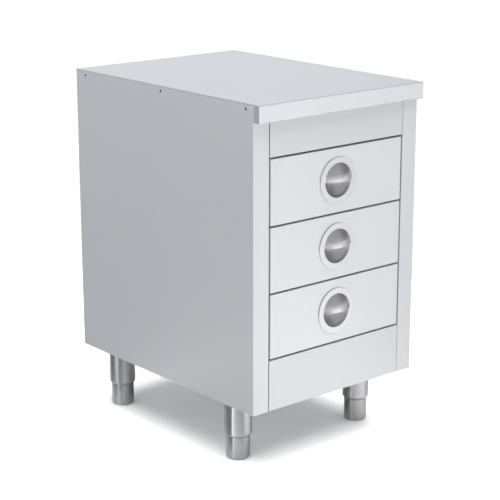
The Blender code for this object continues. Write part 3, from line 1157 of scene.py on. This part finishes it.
def carry_over(node: str, finish: Material) -> None:
    """Give a CAD node whose shape is right a finish of its own.

    Args:
        node: Node that stays in view.
        finish: Material that it takes.
    """
    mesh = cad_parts[node].data
    mesh.materials.clear()
    mesh.materials.append(finish)
    LOG.info("%s is carried over", node)


@dataclass
class Studio:
    """Plain pale floor, soft light, cards for the steel to reflect and the photograph's camera."""

    floor_half: float = 60.0
    card_height: float = 0.003
    floor_grey: str = "#A8A8A8"
    floor_white: str = "#FFFFFF"
    floor_near: float = 1.4
    floor_far: float = 0.75
    floor_fade: tuple[float, float] = (0.8, 1.6)
    sun_strength: float = 3.2
    sun_angle: float = 64.0
    sun_place: Point = (-0.1, -0.75, 4.4)
    strip_place: Point = (-5.94, -0.83, 1.0)
    strip_size: tuple[float, float] = (2.0, 2.5)
    strip_power: float = 48.0
    dark_way: Point = (1.0, -0.10, 0.0)
    wall_tones: tuple[tuple[float, str], ...] = (
        (0.0, "#ADAFB4"),
        (0.50, "#B8B8B9"),
        (0.82, "#B4B4B4"),
        (1.0, "#696969"),
    )
    horizon_gain: float = 1.25
    horizon_height: float = 0.45
    aim: Point = (0.0, 0.0, 0.4)
    lens: float = 110.63
    sensor: float = 36.0
    camera_place: Point = (-2.3343, -2.7733, 1.4249)
    camera_tilt: float = 74.595
    camera_turn: float = -40.263

    def build(self) -> None:
        """Lay the floor and set up the world, the lamps and the camera."""
        self.build_floor()
        self.build_cards()
        self.build_world()
        self.build_lamps()
        self.build_camera()
        bpy.context.scene.view_settings.view_transform = "Standard"

    def build_floor(self) -> None:
        """Lay a matt floor that the camera and the steel see as white, with the shadow kept.

        It is brighter near the cabinet, where it has to be white in the soft light, and falls off
        further out, so that the cabinet's outline stays clean against it.
        """
        deselect()
        bpy.ops.mesh.primitive_plane_add(size=2 * self.floor_half)
        floor = name_new("studio_floor")
        material, tree = blank_material("matt_white_floor")
        path = add_node(tree, "ShaderNodeLightPath").outputs
        sockets = {0: path["Is Glossy Ray"], 1: path["Is Transmission Ray"]}
        mirrored = add_node(tree, "ShaderNodeMath", sockets, operation="ADD", use_clamp=True)
        sockets = {0: mirrored.outputs[0], 6: linear(self.floor_grey), 7: linear(self.floor_white)}
        tone = add_node(tree, "ShaderNodeMix", sockets, data_type="RGBA").outputs[2]
        place = add_node(tree, "ShaderNodeTexCoord").outputs["Object"]
        far = add_node(tree, "ShaderNodeVectorMath", {0: place}, operation="LENGTH")
        ends = {"To Min": self.floor_near, "To Max": self.floor_far}
        ends.update(zip(("From Min", "From Max"), self.floor_fade))
        ends["Value"] = far.outputs["Value"]
        bright = add_node(tree, "ShaderNodeMapRange", ends).outputs[0]
        sockets = {0: path["Is Camera Ray"], 6: tone, 7: bright}
        tone = add_node(tree, "ShaderNodeMix", sockets, data_type="RGBA").outputs[2]
        matt = add_node(tree, "ShaderNodeBsdfDiffuse", {"Color": tone})
        add_node(tree, "ShaderNodeOutputMaterial", {"Surface": matt.outputs[0]})
        floor.data.materials.append(material)

    def build_cards(self) -> None:
        """Set up the cards that only the steel's reflections see.

        Grey and dark ones lie on the floor and give the panels, fronts and legs their tones.  A
        white one beside the left panel and a pale backdrop lift the panel's foot and the worktop.
        """
        low, over = self.card_height, 2 * self.card_height
        self.card("grey_card_left", (-7.28, 7.80, low), (14.00, 16.00), "#7A7C81")
        self.card("grey_card_front", (-1.81, -2.18, low), (3.38, 3.64), "#BCBCBC")
        self.card("grey_card_right", (3.06, -1.27, low), (3.00, 5.00), "#DFDFDF", (0, 0, 40.25))
        self.card("dark_card_right", (3.90, 1.20, over), (6.30, 3.50), "#505050")
        self.card("dark_card_far", (18.60, 0.00, over), (23.00, 8.00), "#505050")
        # The dark card under the cabinet is painted shade: in the steel's reflections it stands in
        # for the shadowed floor there.
        self.card("dark_card_under", (0.0, 0.08, low), (0.28, 0.48), "#505050")
        self.card("white_card_left", (-0.80, 0.29, over), (0.90, 0.12), "#FFFFFF")
        self.card("white_backdrop", (2.18, 3.50, 2.0), (3.00, 4.00), "#E5E7EB", (90, 0, -46.0))

    def card(
        self, name: str, place: Point, size: Point, colour: str, tilt: Point = (0, 0, 0)
    ) -> None:
        """Set up a plain card.

        Args:
            name: Name of the card.
            place: Middle of the card.
            size: Width and length of the card.
            colour: Colour that the card is seen in.
            tilt: Degrees that the card is turned about each axis.
        """
        deselect()
        bpy.ops.mesh.primitive_plane_add(size=1)
        bpy.ops.transform.resize(value=(*size, 1))
        bpy.context.object.rotation_euler = [radians(angle) for angle in tilt]
        bpy.ops.transform.translate(value=place)
        card = name_new(name)
        material, tree = blank_material(f"{name}_paper")
        grey = add_node(tree, "ShaderNodeEmission", {"Color": linear(colour)})
        add_node(tree, "ShaderNodeOutputMaterial", {"Surface": grey.outputs[0]})
        card.data.materials.append(material)
        for ray in ("camera", "diffuse", "shadow", "transmission"):
            setattr(card, f"visible_{ray}", False)

    def build_world(self) -> None:
        """Light the room with grey walls that darken to the right and glow near the floor."""
        world = bpy.data.worlds.new("studio_room")
        world.use_nodes = True
        tree = world.node_tree
        tree.nodes.clear()
        around = add_node(tree, "ShaderNodeTexCoord").outputs["Generated"]
        sockets = {0: around, 1: self.dark_way}
        way = add_node(tree, "ShaderNodeVectorMath", sockets, operation="DOT_PRODUCT")
        sockets = {"Value": way.outputs["Value"], "From Min": -1.0}
        share = add_node(tree, "ShaderNodeMapRange", sockets).outputs[0]
        ramp = add_node(tree, "ShaderNodeValToRGB", {0: share})
        while len(ramp.color_ramp.elements) < len(self.wall_tones):
            ramp.color_ramp.elements.new(1.0)
        for element, (position, colour) in zip(ramp.color_ramp.elements, self.wall_tones):
            element.position = position
            element.color = linear(colour)
        height = add_node(tree, "ShaderNodeSeparateXYZ", {0: around}).outputs["Z"]
        ends = {"From Max": self.horizon_height, "To Min": self.horizon_gain, "To Max": 1.0}
        gain = add_node(tree, "ShaderNodeMapRange", {"Value": height, **ends}).outputs[0]
        glow = add_node(tree, "ShaderNodeBackground", {"Color": ramp.outputs[0], "Strength": gain})
        add_node(tree, "ShaderNodeOutputWorld", {"Surface": glow.outputs[0]})
        bpy.context.scene.world = world

    def build_lamps(self) -> None:
        """Hang a broad soft light over the front and stand a strip softbox far to the left."""
        lamps = []
        for kind, place in (("SUN", self.sun_place), ("AREA", self.strip_place)):
            deselect()
            turned = (Vector(self.aim) - Vector(place)).to_track_quat("-Z", "Y").to_euler()
            bpy.ops.object.light_add(type=kind, location=place, rotation=turned)
            lamps.append(bpy.context.object)
        overhead, strip = lamps
        overhead.name, strip.name = "overhead_diffuser", "strip_softbox"
        overhead.data.energy = self.sun_strength
        overhead.data.angle = radians(self.sun_angle)
        overhead.visible_glossy = False
        strip.data.shape = "RECTANGLE"
        strip.data.size, strip.data.size_y = self.strip_size
        strip.data.energy = self.strip_power

    def build_camera(self) -> None:
        """Put the camera where the photograph was taken from."""
        deselect()
        turned = (radians(self.camera_tilt), 0, radians(self.camera_turn))
        bpy.ops.object.camera_add(location=self.camera_place, rotation=turned)
        camera = bpy.context.object
        camera.name = "photo_camera"
        camera.data.lens = self.lens
        camera.data.sensor_width = self.sensor
        bpy.context.scene.camera = camera


def main() -> None:
    """Build every sub-assembly, then the studio."""
    logging.basicConfig(level=logging.INFO, format="%(name)s: %(message)s")
    panel = PANEL_FINISH.material()
    tub = TUB_FINISH.material()
    Worktop(WORKTOP_FINISH.material(), LIP_END_FINISH.material(), BOARD_FINISH.material()).build()
    SidePanels(panel).build()
    FrontRails(RAIL_FINISH.material()).build()
    DrawerFronts(FRONT_FINISH.material(), tub).build()
    RoundHandles().build()
    DrawerTubs(tub).build()
    Runners(RUNNER_FINISH.material()).build()
    Legs(LEG_FINISH.material(), FOOT_FINISH.material()).build()
    WorktopScrews(SCREW_FINISH.material()).build()
    for node in ("back_panel", "base_panel", "inner_wall_left", "inner_wall_right"):
        carry_over(node, panel)
    Studio().build()
    deselect()


if __name__ == "__main__":
    main()
